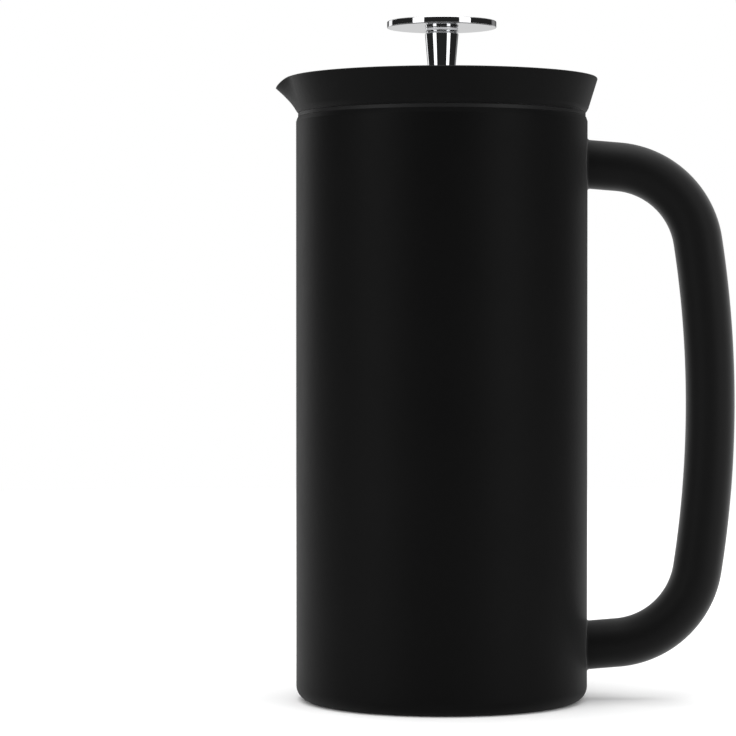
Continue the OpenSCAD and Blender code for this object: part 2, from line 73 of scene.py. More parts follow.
def rounded(corners, closed=True, n=5):
    """An outline whose corners (x, y, radius) are arcs; a radius of 0 keeps a corner sharp."""
    out = []
    count = len(corners)
    for i, (x, y, r) in enumerate(corners):
        here = Vector((x, y))
        end = not closed and i in (0, count - 1)
        if r <= 0 or end:
            out.append((x, y))
            continue
        before = Vector(corners[i - 1][:2]) - here
        after = Vector(corners[(i + 1) % count][:2]) - here
        half = before.angle(after) / 2
        reach = min(r / tan(half), 0.49 * before.length, 0.49 * after.length)
        r = reach * tan(half)
        middle = (before.normalized() + after.normalized()).normalized()
        centre = here + middle * (r / sin(half))
        a = here + before.normalized() * reach - centre
        b = here + after.normalized() * reach - centre
        turn = a.angle_signed(b)
        start = atan2(a.y, a.x)
        for k in range(n + 1):
            t = start - turn * k / n
            out.append((centre.x + r * cos(t), centre.y + r * sin(t)))
    return out


def dense(points, step, closed=True):
    """The same outline with its long straight stretches cut into steps."""
    out = []
    pairs = zip(points, points[1:] + points[:1]) if closed else zip(points, points[1:])
    for (x0, y0), (x1, y1) in pairs:
        parts = max(1, round(hypot(x1 - x0, y1 - y0) / step))
        out += [(x0 + (x1 - x0) * k / parts, y0 + (y1 - y0) * k / parts) for k in range(parts)]
    return out if closed else out + [points[-1]]


# ---- meshes

def linked(name, data):
    """A new object in the scene."""
    obj = bpy.data.objects.new(name, data)
    bpy.context.scene.collection.objects.link(obj)
    return obj


def new_object(name, bm, smooth_angle=32):
    """A shaded object from a bmesh in millimetres, with area-weighted normals."""
    bmesh.ops.recalc_face_normals(bm, faces=bm.faces)
    bmesh.ops.scale(bm, vec=(MM, MM, MM), verts=bm.verts)
    mesh = bpy.data.meshes.new(name)
    bm.to_mesh(mesh)
    bm.free()
    obj = linked(name, mesh)
    shade(obj, smooth_angle)
    return obj


def shade(obj, smooth_angle):
    mesh = obj.data
    mesh.shade_smooth()
    mesh.set_sharp_from_angle(angle=radians(smooth_angle))
    weighted = obj.modifiers.new("weighted", "WEIGHTED_NORMAL")
    weighted.keep_sharp = True
    apply_modifiers(obj)


def apply_modifiers(obj):
    bpy.context.view_layer.update()
    evaluated = obj.evaluated_get(bpy.context.evaluated_depsgraph_get())
    mesh = bpy.data.meshes.new_from_object(evaluated)
    obj.modifiers.clear()
    old = obj.data
    obj.data = mesh
    bpy.data.meshes.remove(old)
    mesh.name = obj.name


def turn_z(degrees):
    """Rotation matrix about the vessel's axis."""
    return Matrix.Rotation(radians(degrees), 3, "Z")


def skin(bm, loops, wrap=True, caps=False):
    """Quads between neighbouring loops of vertices; a loop of one vertex is a pole."""
    n = max(len(loop) for loop in loops)
    for a, b in zip(loops, loops[1:] + loops[:1]) if wrap else zip(loops, loops[1:]):
        for i in range(n):
            j = (i + 1) % n
            if len(a) == 1 and len(b) == 1:
                continue
            if len(a) == 1:
                bm.faces.new((a[0], b[i], b[j]))
            elif len(b) == 1:
                bm.faces.new((a[i], b[0], a[j]))
            else:
                bm.faces.new((a[i], b[i], b[j], a[j]))
    if caps:
        bm.faces.new(loops[0])
        bm.faces.new(loops[-1][::-1])


def polar(bm, r, a, z):
    """A vertex at a radius, an angle about the vessel's axis and a height."""
    return bm.verts.new((r * cos(a), r * sin(a), z))


def lathe(name, profile, segments=192, smooth_angle=32):
    """Turns an outline (radius, height) about the vessel's axis into a closed shell."""
    on_axis = 1e-6
    bm = bmesh.new()
    loops = []
    for r, z in profile:
        if r < on_axis:
            loops.append([bm.verts.new((0, 0, z))])
        else:
            loops.append([polar(bm, r, a, z) for a in angles(segments)])
    skin(bm, loops, wrap=not (profile[0][0] < on_axis and profile[-1][0] < on_axis))
    return new_object(name, bm, smooth_angle)


def tube_sweep(bm, path, radius, segments):
    """Rings of a round tube along a path of points in the XZ plane, given with their headings."""
    loops = []
    for (x, z), heading in path:
        normal = Vector((-sin(heading), 0, cos(heading)))
        loop = []
        for a in angles(segments):
            offset = normal * (radius * cos(a)) + Vector((0, radius * sin(a), 0))
            loop.append(bm.verts.new(Vector((x, 0, z)) + offset))
        loops.append(loop)
    return loops


def combine(obj, others, operation="UNION"):
    """Joins or cuts obj by the others, which are used up."""
    for other in others:
        mod = obj.modifiers.new(operation, "BOOLEAN")
        mod.operation = operation
        mod.solver = "MANIFOLD"
        mod.object = other
    apply_modifiers(obj)
    for other in others:
        mesh = other.data
        bpy.data.objects.remove(other)
        bpy.data.meshes.remove(mesh)


def islands(bm):
    """The sets of faces that hang together across edges with exactly two faces."""
    left = set(bm.faces)
    while left:
        found, todo = set(), [left.pop()]
        while todo:
            face = todo.pop()
            found.add(face)
            for edge in face.edges:
                if len(edge.link_faces) == 2:
                    new = [f for f in edge.link_faces if f in left]
                    left.difference_update(new)
                    todo += new
        yield found


def finish_union(obj, smooth_angle=34):
    """Cleans a joined mesh, drops the slivers that a cut leaves, and shades it again."""
    near = 0.002 * MM
    fewest = 12
    bm = bmesh.new()
    bm.from_mesh(obj.data)
    bmesh.ops.remove_doubles(bm, verts=bm.verts, dist=near)
    bmesh.ops.dissolve_degenerate(bm, edges=bm.edges, dist=near)
    bmesh.ops.triangulate(bm, faces=bm.faces)
    slivers = [face for island in islands(bm) if len(island) < fewest for face in island]
    bmesh.ops.delete(bm, geom=slivers, context="FACES")
    bm.to_mesh(obj.data)
    bm.free()
    normals = obj.data.attributes.get("custom_normal")
    if normals:
        obj.data.attributes.remove(normals)
    shade(obj, smooth_angle)


def add_piece(obj, body, slot, mat, *nodes):
    """Puts a finished piece on its CAD body in place of the nodes it stands for."""
    obj.data.materials.clear()
    for m in mat if isinstance(mat, list) else [mat]:
        obj.data.materials.append(m)
    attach(obj, body)
    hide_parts(*nodes)


# ---- materials

class Graph:
    """A short way to write a node tree."""

    def __init__(self, tree):
        self.tree = tree

    def add(self, kind, **settings):
        node = self.tree.nodes.new(kind)
        for key, value in settings.items():
            setattr(node, key, value)
        return node

    def link(self, a, b):
        self.tree.links.new(a, b)

    def put(self, node, key, value):
        if isinstance(value, bpy.types.NodeSocket):
            self.link(value, node.inputs[key])
        else:
            node.inputs[key].default_value = value

    def fill(self, node, values):
        for key, value in values.items():
            self.put(node, key, value)
        return node.outputs[0]

    def math(self, operation, a, b=0.0):
        return self.fill(self.add("ShaderNodeMath", operation=operation), {0: a, 1: b})

    def spread(self, value, low, high, from_low=0.0, from_high=1.0, curve="LINEAR"):
        return self.fill(self.add("ShaderNodeMapRange", interpolation_type=curve), {
            "Value": value, "From Min": from_low, "From Max": from_high, "To Min": low, "To Max": high})

    def axes(self, vector):
        node = self.add("ShaderNodeSeparateXYZ")
        self.link(vector, node.inputs[0])
        return node.outputs

    def choose(self, factor, a, b):
        """The number a where the factor is 0, b where it is 1."""
        return self.fill(self.add("ShaderNodeMix", data_type="FLOAT"), {0: factor, 2: a, 3: b})


class Nodes(Graph):
    """A material with one Principled shader and object coordinates."""

    def __init__(self, name):
        self.material = bpy.data.materials.new(name)
        self.material.use_nodes = True
        super().__init__(self.material.node_tree)
        self.tree.nodes.clear()
        out = self.add("ShaderNodeOutputMaterial")
        self.bsdf = self.add("ShaderNodeBsdfPrincipled")
        self.link(self.bsdf.outputs[0], out.inputs["Surface"])
        self.coords = self.add("ShaderNodeTexCoord").outputs["Object"]

    def set(self, **values):
        """Sets the shader's own sockets."""
        for key, value in values.items():
            self.put(self.bsdf, key.replace("_", " "), value)

    def noise(self, scale, detail=3.0, vector=None, roughness=0.5):
        return self.fill(self.add("ShaderNodeTexNoise"), {
            "Vector": vector or self.coords, "Scale": scale, "Detail": detail, "Roughness": roughness})

    def blend(self, factor, a, b):
        node = self.add("ShaderNodeMix", data_type="RGBA")
        self.fill(node, {0: factor, 6: (*a, 1.0), 7: (*b, 1.0)})
        return node.outputs[2]

    def bump(self, height, strength, distance, normal=None):
        values = {"Height": height, "Strength": strength, "Distance": distance}
        if normal:
            values["Normal"] = normal
        return self.fill(self.add("ShaderNodeBump"), values)

    def round_coords(self, around, along):
        """Coordinates that run round the vessel axis, up it and away from it, each scaled."""
        x, y, z = self.axes(self.coords)
        angle = self.math("ARCTAN2", y, x)
        squares = self.math("ADD", self.math("MULTIPLY", x, x), self.math("MULTIPLY", y, y))
        radius = self.math("SQRT", squares)
        packed = self.fill(self.add("ShaderNodeCombineXYZ"), {
            0: self.math("MULTIPLY", angle, around), 1: self.math("MULTIPLY", z, along),
            2: self.math("MULTIPLY", radius, along)})
        return packed, angle, radius, z


def black_coat(name, lightness=1.0, specular=0.10, sheen=0.06, sheen_rough=0.42):
    """Powder coat: nearly black, fine even grain over a slow orange peel."""
    m = Nodes(name)
    cloud = m.noise(26, 3)
    # A lightness above 1 makes a lighter copy of the coat; the neck band uses one as a painted highlight.
    low = [lightness * c for c in (0.0009, 0.0009, 0.00095)]
    high = [lightness * c for c in (0.0017, 0.0017, 0.00175)]
    m.set(Base_Color=m.blend(cloud, low, high), Roughness=m.spread(m.noise(90, 4), 0.44, 0.52),
          Specular_IOR_Level=specular, Sheen_Weight=sheen, Sheen_Roughness=sheen_rough)
    peel = m.bump(m.noise(420, 2), 0.16, 0.00018)
    m.set(Normal=m.bump(m.noise(2300, 2), 0.22, 0.00006, peel))
    return m.material


def liner_steel():
    """Spun steel: fine scratches that run round the vessel."""
    m = Nodes("spun_steel")
    scratch = m.noise(1.0, 4, m.round_coords(0.9, 2600)[0], 0.65)
    band = m.noise(1.0, 3, m.round_coords(0.5, 170)[0])
    m.set(Base_Color=m.blend(band, (0.50, 0.50, 0.51), (0.64, 0.64, 0.65)), Metallic=1.0,
          Roughness=m.spread(scratch, 0.24, 0.40), Normal=m.bump(scratch, 0.14, 0.00004))
    return m.material


def chrome():
    """Polished chrome with the faintest polishing haze."""
    m = Nodes("polished_chrome")
    haze = m.noise(1.0, 3, m.round_coords(1.2, 3200)[0], 0.6)
    patch = m.noise(60, 2)
    m.set(Base_Color=m.blend(patch, (0.74, 0.745, 0.76), (0.80, 0.805, 0.815)), Metallic=1.0,
          Roughness=m.spread(haze, 0.02, 0.05), Normal=m.bump(haze, 0.03, 0.00001))
    return m.material


def gloss_black():
    """The lid's gloss moulding."""
    m = Nodes("gloss_black_plastic")
    m.set(Base_Color=m.blend(m.noise(40, 2), (0.0025, 0.0025, 0.0028), (0.0045, 0.0045, 0.0048)),
          Roughness=m.spread(m.noise(120, 4), 0.09, 0.16), Specular_IOR_Level=0.42,
          Normal=m.bump(m.noise(260, 2), 0.06, 0.00012))
    return m.material


def satin_black():
    """Satin moulded plastic of the insert and the filter frames."""
    m = Nodes("satin_black_plastic")
    m.set(Base_Color=m.blend(m.noise(70, 3), (0.0035, 0.0035, 0.0037), (0.0065, 0.0065, 0.0068)),
          Roughness=m.spread(m.noise(210, 4), 0.27, 0.38), Specular_IOR_Level=0.24)
    fine = m.bump(m.noise(1500, 3), 0.12, 0.00005)
    m.set(Normal=m.bump(m.noise(240, 2), 0.05, 0.00012, fine))
    return m.material


def silicone(name, dark, light, rough, translucent):
    """Moulded silicone, slightly mottled; the clear kind lets light through."""
    m = Nodes(name)
    m.set(Base_Color=m.blend(m.noise(160, 3), dark, light),
          Roughness=m.spread(m.noise(330, 3), rough, rough + 0.12),
          Specular_IOR_Level=0.4, Normal=m.bump(m.noise(900, 3), 0.10, 0.00006))
    if translucent:
        m.set(Subsurface_Weight=0.55, Subsurface_Radius=(1.0, 1.0, 0.95), Subsurface_Scale=0.002,
              Transmission_Weight=0.22, IOR=1.41)
    return m.material


def filter_cloth(pitch=0.22):
    """Fine woven mesh: threads round and up the basket, with open holes between them."""
    m = Nodes("woven_filter_mesh")
    basket_r = 36.0
    _, angle, radius, z = m.round_coords(1.0, 1.0)
    turns = m.math("MULTIPLY", angle, basket_r / pitch)
    rise = m.math("DIVIDE", m.math("SUBTRACT", z, radius), pitch * MM)
    across = m.math("SINE", m.math("MULTIPLY", turns, pi))
    up = m.math("SINE", m.math("MULTIPLY", rise, pi))
    cover = m.math("MAXIMUM", m.math("MULTIPLY", across, across), m.math("MULTIPLY", up, up))
    m.set(Base_Color=m.blend(m.noise(55, 4), (0.52, 0.53, 0.54), (0.74, 0.745, 0.75)),
          Roughness=m.spread(m.noise(140, 3), 0.30, 0.44), Specular_IOR_Level=0.7,
          Alpha=m.spread(cover, 0.05, 0.88, 0.52, 0.72), Normal=m.bump(cover, 0.5, 0.00005))
    return m.material


def getter_metal():
    """Dull, slightly pitted metal of the getter pill."""
    m = Nodes("getter_metal")
    m.set(Base_Color=m.blend(m.noise(120, 4), (0.40, 0.40, 0.41), (0.55, 0.55, 0.56)), Metallic=1.0,
          Roughness=m.spread(m.noise(300, 4), 0.35, 0.50), Normal=m.bump(m.noise(1200, 3), 0.2, 0.00004))
    return m.material


def guide_plastic():
    """Dark grey plastic of the rod's bushes."""
    m = Nodes("natural_guide_plastic")
    m.set(Base_Color=m.blend(m.noise(150, 3), (0.10, 0.10, 0.10), (0.15, 0.15, 0.148)),
          Roughness=m.spread(m.noise(300, 3), 0.32, 0.45), Normal=m.bump(m.noise(800, 3), 0.12, 0.00006))
    return m.material


COAT = black_coat("black_powder_coat")
HANDLE_COAT = black_coat("handle_powder_coat", sheen=0.32, sheen_rough=0.45)
# The neck band: the same powder coat made 4.5 times lighter, a painted highlight along the neck.
NECK_PAINTED_HIGHLIGHT_COAT = black_coat("neck_coat_painted_highlight", lightness=4.5, specular=0.25)
STEEL = liner_steel()
CHROME = chrome()
GLOSS = gloss_black()
SATIN = satin_black()
BLACK_SILICONE = silicone("black_silicone", (0.010, 0.010, 0.0105), (0.018, 0.018, 0.0185), 0.38, False)
CLEAR_SILICONE = silicone("clear_silicone", (0.62, 0.63, 0.62), (0.74, 0.75, 0.74), 0.34, True)
CLOTH = filter_cloth()
GETTER = getter_metal()
GUIDE = guide_plastic()

# ---- vessel

SHELL_R, _, SHELL_TOP = span("outer_shell")
NECK_R, LINER_LOW, SEAT = span("inner_vessel")
SHEET = 0.6
FOOT_R = 38.0


def build_outer_shell():
    """The outer wall: flat foot ring, rounded base edge, and a shoulder drawn in to the neck."""
    fillet = 5.0
    lip_z = SHELL_TOP - 0.4
    profile = rounded([
        (FOOT_R, 0, 0.25), (SHELL_R, 0, fillet), (SHELL_R, lip_z - 1.3, 0.9),
        (NECK_R + 0.22, lip_z + 0.1, 0.35), (NECK_R, lip_z + 0.25, 0.08), (NECK_R, SHELL_TOP, 0),
        (NECK_R - SHEET, SHELL_TOP, 0), (NECK_R - SHEET, lip_z - 0.3, 0.2),
        (SHELL_R - SHEET, lip_z - 1.2, 0.3), (SHELL_R - SHEET, SHEET, fillet - SHEET),
        (FOOT_R, SHEET, 0.2)], n=8)
    obj = lathe("outer_shell.look", dense(profile, 12), 256)
    add_piece(obj, "vessel", "black_coat", COAT, "outer_shell")


def build_inner_vessel():
    """The liner, with a pour channel in its shoulder at +X (the CAD has it at -X, under the spout)."""
    chamber = 46.2
    floor = LINER_LOW + SHEET
    half = radians(19)
    soft = radians(4)
    corner = 6.0
    under = SHELL_TOP
    # Points of the shoulder, as (radius, height) away from the channel and in it.
    plain = [(chamber, SEAT - 6.6), (chamber, SEAT - 4.4), (chamber, SEAT - 2.2), (chamber, SEAT - 0.95),
             (chamber + 0.25, SEAT - 0.35), (chamber + 0.8, SEAT), (NECK_R - 0.2, SEAT),
             (NECK_R, SEAT - 0.15), (NECK_R, under), (chamber + 1.9, under), (chamber + 1.1, under - 0.5),
             (chamber + SHEET, under - 1.5), (chamber + SHEET, SEAT - 5.2), (chamber + SHEET, SEAT - 7.2)]
    channel = [(chamber, SEAT - 6.6), (chamber + 1.3, SEAT - 4.7), (chamber + 2.7, SEAT - 2.7),
               (chamber + 3.6, SEAT - 1.3), (chamber + 4.0, SEAT - 0.7), (chamber + 4.3, SEAT),
               (NECK_R - 0.2, SEAT), (NECK_R, SEAT - 0.15), (NECK_R, under), (NECK_R - 0.7, under - 0.1),
               (chamber + 3.5, under - 0.9), (chamber + 2.8, under - 1.9), (chamber + 1.5, SEAT - 5.3),
               (chamber + SHEET, SEAT - 7.3)]
    below = arc((chamber - corner, floor + corner), corner, -90, 0, 10)
    below = dense(below + [plain[0]], 12, closed=False)[:-1]
    outer = arc((chamber - corner, floor + corner), corner + SHEET, 0, -90, 10)
    outer = dense([plain[-1]] + outer, 12, closed=False)[1:]

    def section(a):
        off = abs(a % TAU - pi)
        t = min(1, max(0, (half - off) / soft))
        w = t * t * (3 - 2 * t)
        lip = [(r + (s - r) * w, z + (y - z) * w) for (r, z), (s, y) in zip(plain, channel)]
        return below + lip + outer

    bm = bmesh.new()
    skin_open(bm, [[polar(bm, r, a + pi, z) for r, z in section(a)] for a in angles(256)])
    obj = new_object("inner_vessel.look", bm)
    add_piece(obj, "vessel", "steel_liner", [STEEL, NECK_PAINTED_HIGHLIGHT_COAT], "inner_vessel")
    # Faces out at the neck take the lighter coat: a painted highlight band where the collar meets the shell.
    neck = (NECK_R - 0.15) * MM
    for f in obj.data.polygons:
        if all(hypot(*obj.data.vertices[v].co.xy) > neck for v in f.vertices):
            f.material_index = 1


def skin_open(bm, loops):
    """Quads between rings of open sections, whose first and last points close on the axis."""
    n = len(loops)
    m = len(loops[0])
    for i in range(n):
        a, b = loops[i], loops[(i + 1) % n]
        for j in range(m - 1):
            bm.faces.new((a[j], b[j], b[j + 1], a[j + 1]))
    for end in (0, m - 1):
        pole = bm.verts.new((0, 0, loops[0][end].co.z))
        for i in range(n):
            bm.faces.new((pole, loops[i][end], loops[(i + 1) % n][end]))


def spout_weight(a, half_angle):
    """1 at the spout's tip, 0 outside the spout; a is the angle from -X."""
    s = min(1, abs(a) / half_angle)
    return (1 - s) ** 2 * (1 + 2 * s)


def build_collar():
    """The flared collar, drawn out into the spout at -X; black outside, bare steel inside."""
    low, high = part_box("spout_collar")
    rim_r = high.x / MM
    rim_z = high.z / MM
    reach = -low.x / MM - rim_r
    dip = 2.9
    wall = 1.1
    half_angle = radians(17)
    start_z = SEAT + 0.6
    steps = 22
    lip = 6

    def section(a):
        w = spout_weight(a, half_angle)
        top_r = rim_r + reach * w
        top_z = rim_z - dip * w ** 1.5
        outside = [(NECK_R, SEAT), (NECK_R + 0.06, SEAT + 0.12)]
        inside = []
        for i in range(steps + 1):
            t = i / steps
            r = SHELL_R + (top_r - SHELL_R) * t ** (1 + 0.35 * w)
            z = start_z + (top_z - wall / 2 - start_z) * t
            ease = min(1, i / 2)
            outside.append((r - 0.22 * (1 - ease), z))
            inside.append((r - wall, z + 0.1 * (1 - ease)))
        centre = (top_r - wall / 2, top_z - wall / 2)
        rim = arc(centre, wall / 2, 0, 180, lip)[1:-1]
        return outside + rim + inside[::-1] + [(NECK_R - wall, SEAT)]

    fine = [radians(-19 + 0.5 * i) for i in range(77)]
    rest = [radians(19 + (322 / 161) * i) for i in range(1, 161)]
    bm = bmesh.new()
    skin(bm, [[polar(bm, -r, a, z) for r, z in section(a)] for a in fine + rest])
    obj = new_object("spout_collar.look", bm)
    add_piece(obj, "vessel", "black_coat", [COAT, STEEL], "spout_collar")
    axis_side = 0.35
    for f in obj.data.polygons:
        c = f.center
        inward = -(f.normal.x * c.x + f.normal.y * c.y) / max(1e-9, hypot(c.x, c.y))
        f.material_index = 1 if inward > axis_side and c.z < high.z - 1.0 * MM else 0


def handle_path():
    """Centreline of the handle from its upper to its lower end: points with headings in the XZ plane."""
    low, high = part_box("handle_tube")
    tube_r = high.y / MM - 0.05
    slope = radians(4.8)
    grip = radians(81.2)
    bend_r = 31.4
    stub = 11.0
    top_z = SEAT - 18.2
    middle_z = (high.z + low.z) / 2 / MM
    half = top_z - middle_z
    grip_r = (half - stub * sin(slope) - bend_r * (cos(slope) - cos(grip))) / cos(grip)
    points = []
    for i in range(-10, 8):
        d = stub * i / 8
        points.append(((SHELL_R + d * cos(slope), top_z - d * sin(slope)), -slope))
    x = SHELL_R + stub * cos(slope)
    z = top_z - stub * sin(slope)
    cx, cz = x - bend_r * sin(slope), z - bend_r * cos(slope)
    for i in range(41):
        h = slope + (grip - slope) * i / 40
        points.append(((cx + bend_r * sin(h), cz + bend_r * cos(h)), -h))
    gx = cx + (bend_r - grip_r) * sin(grip)
    for i in range(1, 25):
        h = grip + (pi / 2 - grip) * i / 24
        points.append(((gx + grip_r * sin(h), middle_z + grip_r * cos(h)), -h))
    lower = [((x, 2 * middle_z - z), -pi - h) for (x, z), h in points[-2::-1]]
    return points + lower, tube_r


def onto_shell(point, heading, back):
    """Slides a point along a heading in the XZ plane until it is on the shell's surface."""
    dx, dz = cos(heading), sin(heading)
    reach = sqrt(max(0, (SHELL_R - back) ** 2 - point.y ** 2))
    d = (reach - point.x) / dx
    return Vector((point.x + d * dx, point.y, point.z + d * dz))


def build_handle():
    """The bent hollow tube, cut to the shell's curve at both ends."""
    path, tube_r = handle_path()
    wall = 1.0
    buried = 11
    path = path[buried:-buried]
    bm = bmesh.new()
    shells = []
    for radius in (tube_r, tube_r - wall):
        loops = tube_sweep(bm, path, radius, 72)
        ends = [[bm.verts.new(onto_shell(v.co, path[end][1], 0.02)) for v in loops[end]] for end in (0, -1)]
        shells.append([ends[0], *loops, ends[1]])
    outer, inner = shells
    skin(bm, outer + inner[::-1])
    obj = new_object("handle_tube.look", bm, 50)
    add_piece(obj, "vessel", "black_coat", HANDLE_COAT, "handle_tube")


def build_weld_beads():
    """A smooth fillet where each end of the tube meets the shell."""
    path, tube_r = handle_path()
    leg = 0.75
    segments = 96
    bm = bmesh.new()
    for ((x, z), heading), outward in ((path[10], 1), (path[-11], -1)):
        normal = Vector((-sin(heading), 0, cos(heading)))
        along = Vector((cos(heading), 0, sin(heading))) * outward
        loops = []
        for a in angles(segments):
            ripple = 1 + 0.05 * sin(24 * a) + 0.03 * sin(7 * a + 1)
            side = normal * cos(a) + Vector((0, sin(a), 0))
            base = Vector((x, 0, z))
            on_tube = onto_shell(base + side * (tube_r - 0.1), heading, 0)
            away = onto_shell(base + side * (tube_r + leg * ripple), heading, 0)
            corner = onto_shell(base + side * tube_r, heading, 0)
            top = corner + along * leg * ripple
            inside = on_tube - along * 0.1
            hollow = [corner.lerp(away, s) + (top - corner) * t
                      for s, t in ((0.62, 0.10), (0.30, 0.30), (0.10, 0.62))]
            ring = [inside, away - along * 0.1, away, *hollow, top, top - side * 0.1]
            loops.append([bm.verts.new(p) for p in ring])
        skin(bm, loops)
    obj = new_object("handle_weld_beads.look", bm, 60)
    add_piece(obj, "vessel", "black_coat", HANDLE_COAT, "handle_weld_beads")


def build_base():
    """The plate let into the foot ring, and the cap over the evacuation hole."""
    weld_r = span("base_plate")[0]
    recess = 1.8
    profile = rounded([
        (0, recess, 0), (FOOT_R - 1.6, recess, 0.5), (FOOT_R - 0.2, SHEET, 0.3), (weld_r, SHEET, 0),
        (weld_r, 2 * SHEET, 0), (FOOT_R + 0.2, 2 * SHEET, 0.3), (FOOT_R - 1.2, recess + SHEET, 0.5),
        (0, recess + SHEET, 0)], closed=False, n=6)
    obj = lathe("base_plate.look", dense(profile, 8, closed=False), 192)
    add_piece(obj, "vessel", "base_coat", COAT, "base_plate")
    cap_r, cap_low, cap_high = span("vacuum_seal_cap")
    profile = rounded([(0, cap_low, 0), (cap_r - 0.2, cap_low, 0.5), (cap_r, cap_high, 0), (0, cap_high, 0)],
                      closed=False, n=6)
    add_piece(lathe("vacuum_seal_cap.look", profile, 64), "vessel", "base_coat", COAT, "vacuum_seal_cap")


# ---- lid

LID_R, LID_Z, LID_TOP = span("lid_cap")
INSERT_TOP = span("lid_insert")[2]
WALL_R = 44.35
SKIRT_TOP_R = 42.6
SKIRT_LOW_R = 39.4
SKIRT_TOP = -12.6
SKIRT_DEPTH = 28.8
SKIRT_WALL = 1.8
SKIRT_SLOPE = (SKIRT_TOP_R - SKIRT_LOW_R) / (SKIRT_DEPTH + SKIRT_TOP)
GROOVE_TOP = -9.2
GROOVE_LOW = -11.4
GUIDE_R = 5.15
GUIDE_BORE_R = 3.7


def lid_profile(points):
    """Points whose heights are given from the flange's underside."""
    return [(r, LID_Z + z, *rest) for r, z, *rest in points]


def build_lid_cap():
    """The domed cap with its thick flange, hollow underneath."""
    band = 5.3
    edge_z = 7.7
    dome_r = LID_R - 2.6
    height = LID_TOP - LID_Z
    shell = 2.2
    recess_r = LID_R - 3.6
    recess_z = 4.4
    bore = GUIDE_BORE_R + 0.05

    def dome(r_from, r_to, drop, n):
        out = []
        for i in range(n + 1):
            r = r_from + (r_to - r_from) * i / n
            out.append((r, height - drop - (height - edge_z) * (r / dome_r) ** 2, 0))
        return out

    top = dome(dome_r - 1.0, bore, 0, 28)
    corners = [(recess_r, 0, 0.2), (LID_R, 0, 0.5), (LID_R, band + 0.5, 0.45), (dome_r, edge_z, 1.4)]
    corners += top[1:] + dome(bore, LID_R - 5.5, shell, 20)
    corners += [(LID_R - 5.2, recess_z, 0.2), (recess_r, recess_z, 0.2)]
    obj = lathe("lid_cap.look", dense(rounded(lid_profile(corners), n=6), 6), 256, 28)
    add_piece(obj, "lid", "lid_black", GLOSS, "lid_cap")


def build_lid_rings():
    """The lip ring round the skirt, and the bushes and the wiper on the rod."""
    lip_r = span("lid_seal")[0]
    seal = rounded(lid_profile([
        (WALL_R - 1.1, GROOVE_LOW + 0.1, 0), (WALL_R + 0.2, GROOVE_LOW + 0.1, 0.3),
        (lip_r, GROOVE_LOW + 0.95, 0.25), (lip_r, GROOVE_LOW + 1.4, 0.25),
        (WALL_R + 0.4, GROOVE_TOP - 0.1, 0.4), (WALL_R - 1.1, GROOVE_TOP - 0.1, 0)]))
    add_piece(lathe("lid_seal.look", seal, 256, 60), "lid_ring", "black_silicone", BLACK_SILICONE, "lid_seal")
    top_r, low, high = span("rod_bush_upper")
    bore = 2.8
    fit = GUIDE_BORE_R - 0.01
    bush = rounded([(bore, low, 0.2), (fit, low, 0), (fit, high - 1.2, 0),
                    (top_r, high - 1.2, 0.15), (top_r, high, 0.4), (bore, high, 0.3)])
    add_piece(lathe("rod_bush_upper.look", bush, 96), "lid", "bush_plastic", GUIDE, "rod_bush_upper")
    _, low, high = span("rod_bush_lower")
    bush = rounded([(bore, low, 0.2), (fit, low, 0.1), (fit, high, 0.1), (bore, high, 0.2)])
    add_piece(lathe("rod_bush_lower.look", bush, 96), "lid", "bush_plastic", GUIDE, "rod_bush_lower")
    _, low, high = span("rod_wiper")
    wiper = rounded([(bore, low, 0.3), (fit, low, 0.2), (fit, high, 0), (bore, high, 0.3)])
    add_piece(lathe("rod_wiper.look", wiper, 96, 60), "lid", "clear_silicone", CLEAR_SILICONE, "rod_wiper")


def slot_outline(half_w, top, low, grow):
    """A slot with round ends as (across, height) points, grown by a margin."""
    r = half_w + grow
    upper = arc((0, top - half_w), r, 0, 180, 10)
    lower = arc((0, low + half_w), r, 180, 360, 10)
    return upper + lower


def slot_cutters():
    """One solid per slot, flared at both wall faces so that the slots' edges come out round."""
    pitch = 2.75
    half_w = 0.875
    ease = 0.22
    half = 7
    short = {5: 1.5, 6: 4.3, 7: 7.5}
    bm = bmesh.new()
    rows = []
    for k in range(-half, half + 1):
        rows.append((k * pitch, -3.2, -8.4, lambda z: WALL_R, 1.9))
        rows.append((k * pitch, GROOVE_LOW - 1.4, short.get(abs(k), 0) - 24.6,
                     lambda z: SKIRT_TOP_R + SKIRT_SLOPE * (z - SKIRT_TOP), SKIRT_WALL))
    for side in (-1, 1):
        for y0, top, low, wall_r, thick in rows:
            loops = []
            for depth, grow in ((-3.0, ease), (0.0, ease), (0.07, 0.10), (ease, 0), (thick - ease, 0),
                                (thick, ease), (thick + 3, ease)):
                loop = []
                for across, z in slot_outline(half_w, top, low, grow):
                    y = y0 + across
                    x = sqrt(wall_r(z) ** 2 - y * y) - depth
                    loop.append(bm.verts.new((side * x, y, LID_Z + z)))
                loops.append(loop)
            skin(bm, loops, wrap=False, caps=True)
    return new_object("slot_cutters", bm)


def foot_piece(centre_deg):
    """One foot: a rounded trapezoid that follows the skirt's curve, with an upright rib on its face."""
    top_half, low_half = 15.6, 12.8
    length = 5.2
    inset = 0.45
    wall = 1.3
    corner = 1.0
    outline = rounded([(-top_half - 0.5, 0.8, 0), (-low_half, -length, corner), (low_half, -length, corner),
                       (top_half + 0.5, 0.8, 0)], n=6)
    outline = dense(outline, 1.2)
    bm = bmesh.new()
    loops = []
    edge = 0.25
    layers = ((wall, edge), (wall - 0.07, 0.08), (wall - edge, 0), (edge, 0), (0.07, 0.08), (0, edge))
    for depth, shrink in layers:
        loop = []
        for across, z in outline:
            a = across * (1 - shrink / low_half) / (SKIRT_LOW_R - inset)
            r = SKIRT_LOW_R - inset + SKIRT_SLOPE * min(z, 0) - depth
            height = LID_Z - SKIRT_DEPTH + z + (shrink if z < 0 else 0)
            loop.append(polar(bm, r, a, height))
        loops.append(loop)
    skin(bm, loops, wrap=False, caps=True)
    bmesh.ops.rotate(bm, verts=bm.verts, cent=(0, 0, 0), matrix=turn_z(centre_deg))
    return new_object("foot", bm)


